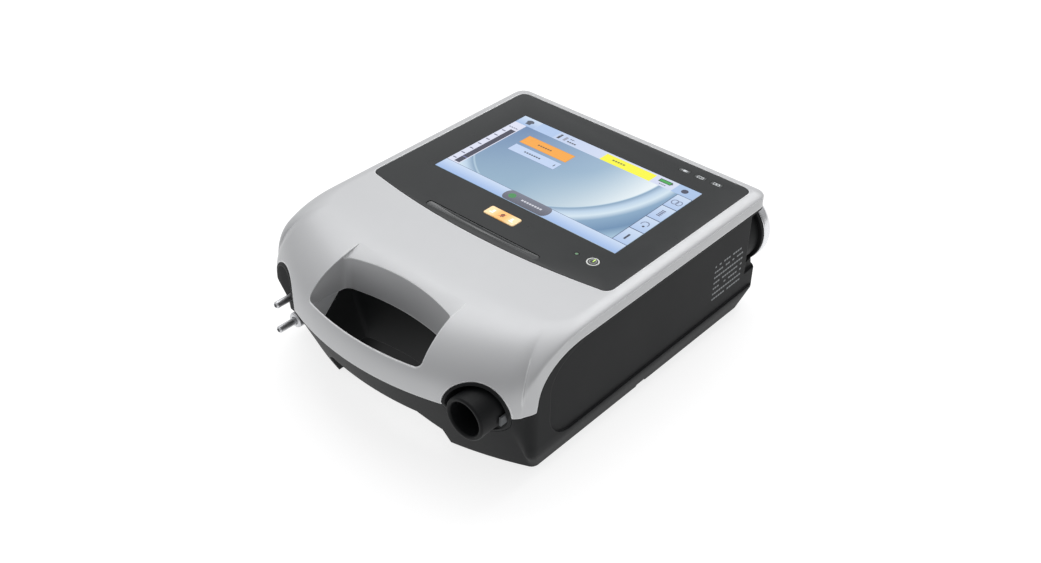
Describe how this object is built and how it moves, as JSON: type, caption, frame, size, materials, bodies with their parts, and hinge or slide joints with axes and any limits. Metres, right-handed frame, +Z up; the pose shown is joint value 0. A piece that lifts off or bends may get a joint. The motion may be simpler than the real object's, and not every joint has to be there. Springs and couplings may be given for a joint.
{
  "type": "portable ventilator",
  "caption": "Flat portable ventilator with a touch display on top, a carrying opening in its curved front, a breathing port, pressure spigots and a rear connector bay.",
  "frame": {"origin": "centre of the bounding box's footprint, on the surface it stands on", "axes": "+Z up, -Y towards the curved front with the handle opening and ports, +X to the right of someone reading the display"},
  "size_m": [0.215, 0.285, 0.0934],
  "materials": {
    "silver": "satin silver lacquer on moulded plastic",
    "dark": "fine-grained dark grey",
    "glass": "smooth dark grey",
    "screen": "smooth, lit",
    "amber": "smooth amber",
    "pale": "smooth pale grey",
    "lamp": "smooth, tinted",
    "rubber": "matt black",
    "steel": "machined",
    "aluminium": "plain sheet",
    "chrome": "bright plated plastic",
    "board": "solder mask",
    "foam": "open-cell foam",
    "insidePlastic": "smooth natural",
    "battery": "shrink sleeve"
  },
  "bodies": {
    "case": {"top_shell": "silver", "lower_housing": "dark", "bezel_glass": "glass", "touch_display": "screen", "alignment_key": "dark", "port_surround": "dark", "inspiratory_port": "dark", "circuit_adapter": "dark", "connector_panel": "dark", "dc_socket": "dark", "oximeter_socket": "dark", "remote_alarm_socket": "dark", "battery_cover": "dark", "fan_frame": "dark", "lcd_module": "aluminium", "display_frame": "aluminium", "chassis_plate": "aluminium", "power_button_ring": "pale", "alarm_light_bar": "lamp", "status_light_mains": "lamp", "status_light_external": "lamp", "status_light_battery": "lamp", "light_sensor": "lamp", "port_seal": "rubber", "foot_front_left": "rubber", "foot_front_right": "rubber", "foot_rear_left": "rubber", "foot_rear_right": "rubber", "upper_spigot": "steel", "lower_spigot": "steel", "spigot_collar": "steel", "usb_socket": "steel", "network_socket": "steel", "oxygen_inlet": "steel", "blower_motor": "steel", "speaker": "steel", "base_screw_front_left": "steel", "base_screw_front_right": "steel", "base_screw_rear_left": "steel", "base_screw_rear_right": "steel", "air_filter": "foam", "inlet_muffler": "foam", "main_board": "board", "power_board": "board", "blower_housing": "insidePlastic", "outlet_duct": "insidePlastic", "flow_sensor": "insidePlastic", "oxygen_sensor": "insidePlastic", "valve_block": "insidePlastic", "battery_pack": "battery"},
    "mute_button": {"mute_button": "amber"},
    "power_button": {"power_button": "glass"},
    "power_switch": {"power_switch": "pale"},
    "inlet_cover": {"air_inlet_cover": "dark", "air_inlet_trim": "chrome"},
    "socket_cap": {"socket_cap": "rubber"},
    "impeller": {"impeller": "dark"},
    "fan_rotor": {"fan_rotor": "dark"}
  },
  "joints": [
    {"name": "mute_press", "type": "slide", "parent": "case", "child": "mute_button", "axis": [0, 0, -1], "range_m": [0, 0.0008], "stiffness_N_per_m": 2500},
    {"name": "power_press", "type": "slide", "parent": "case", "child": "power_button", "axis": [0, 0, -1], "range_m": [0, 0.0008], "stiffness_N_per_m": 2500},
    {"name": "switch_rock", "type": "hinge", "parent": "case", "child": "power_switch", "pos_m": [-0.063, 0.1103, 0.056], "axis": [1, 0, 0], "range_deg": [-6, 6]},
    {"name": "inlet_cover_turn", "type": "hinge", "parent": "case", "child": "inlet_cover", "pos_m": [0.0793, 0.1313, 0.0521], "axis": [0, 1, 0], "range_deg": [0, 45]},
    {"name": "socket_cap_lift", "type": "hinge", "parent": "case", "child": "socket_cap", "pos_m": [-0.023, 0.1169, 0.0651], "axis": [1, 0, 0], "range_deg": [0, 100]},
    {"name": "impeller_spin", "type": "hinge", "parent": "case", "child": "impeller", "pos_m": [0.03, -0.035, 0.028], "axis": [0, 0, 1], "continuous": true},
    {"name": "fan_spin", "type": "hinge", "parent": "case", "child": "fan_rotor", "pos_m": [-0.058, -0.038, 0.02], "axis": [0, 0, 1], "continuous": true}
  ]
}
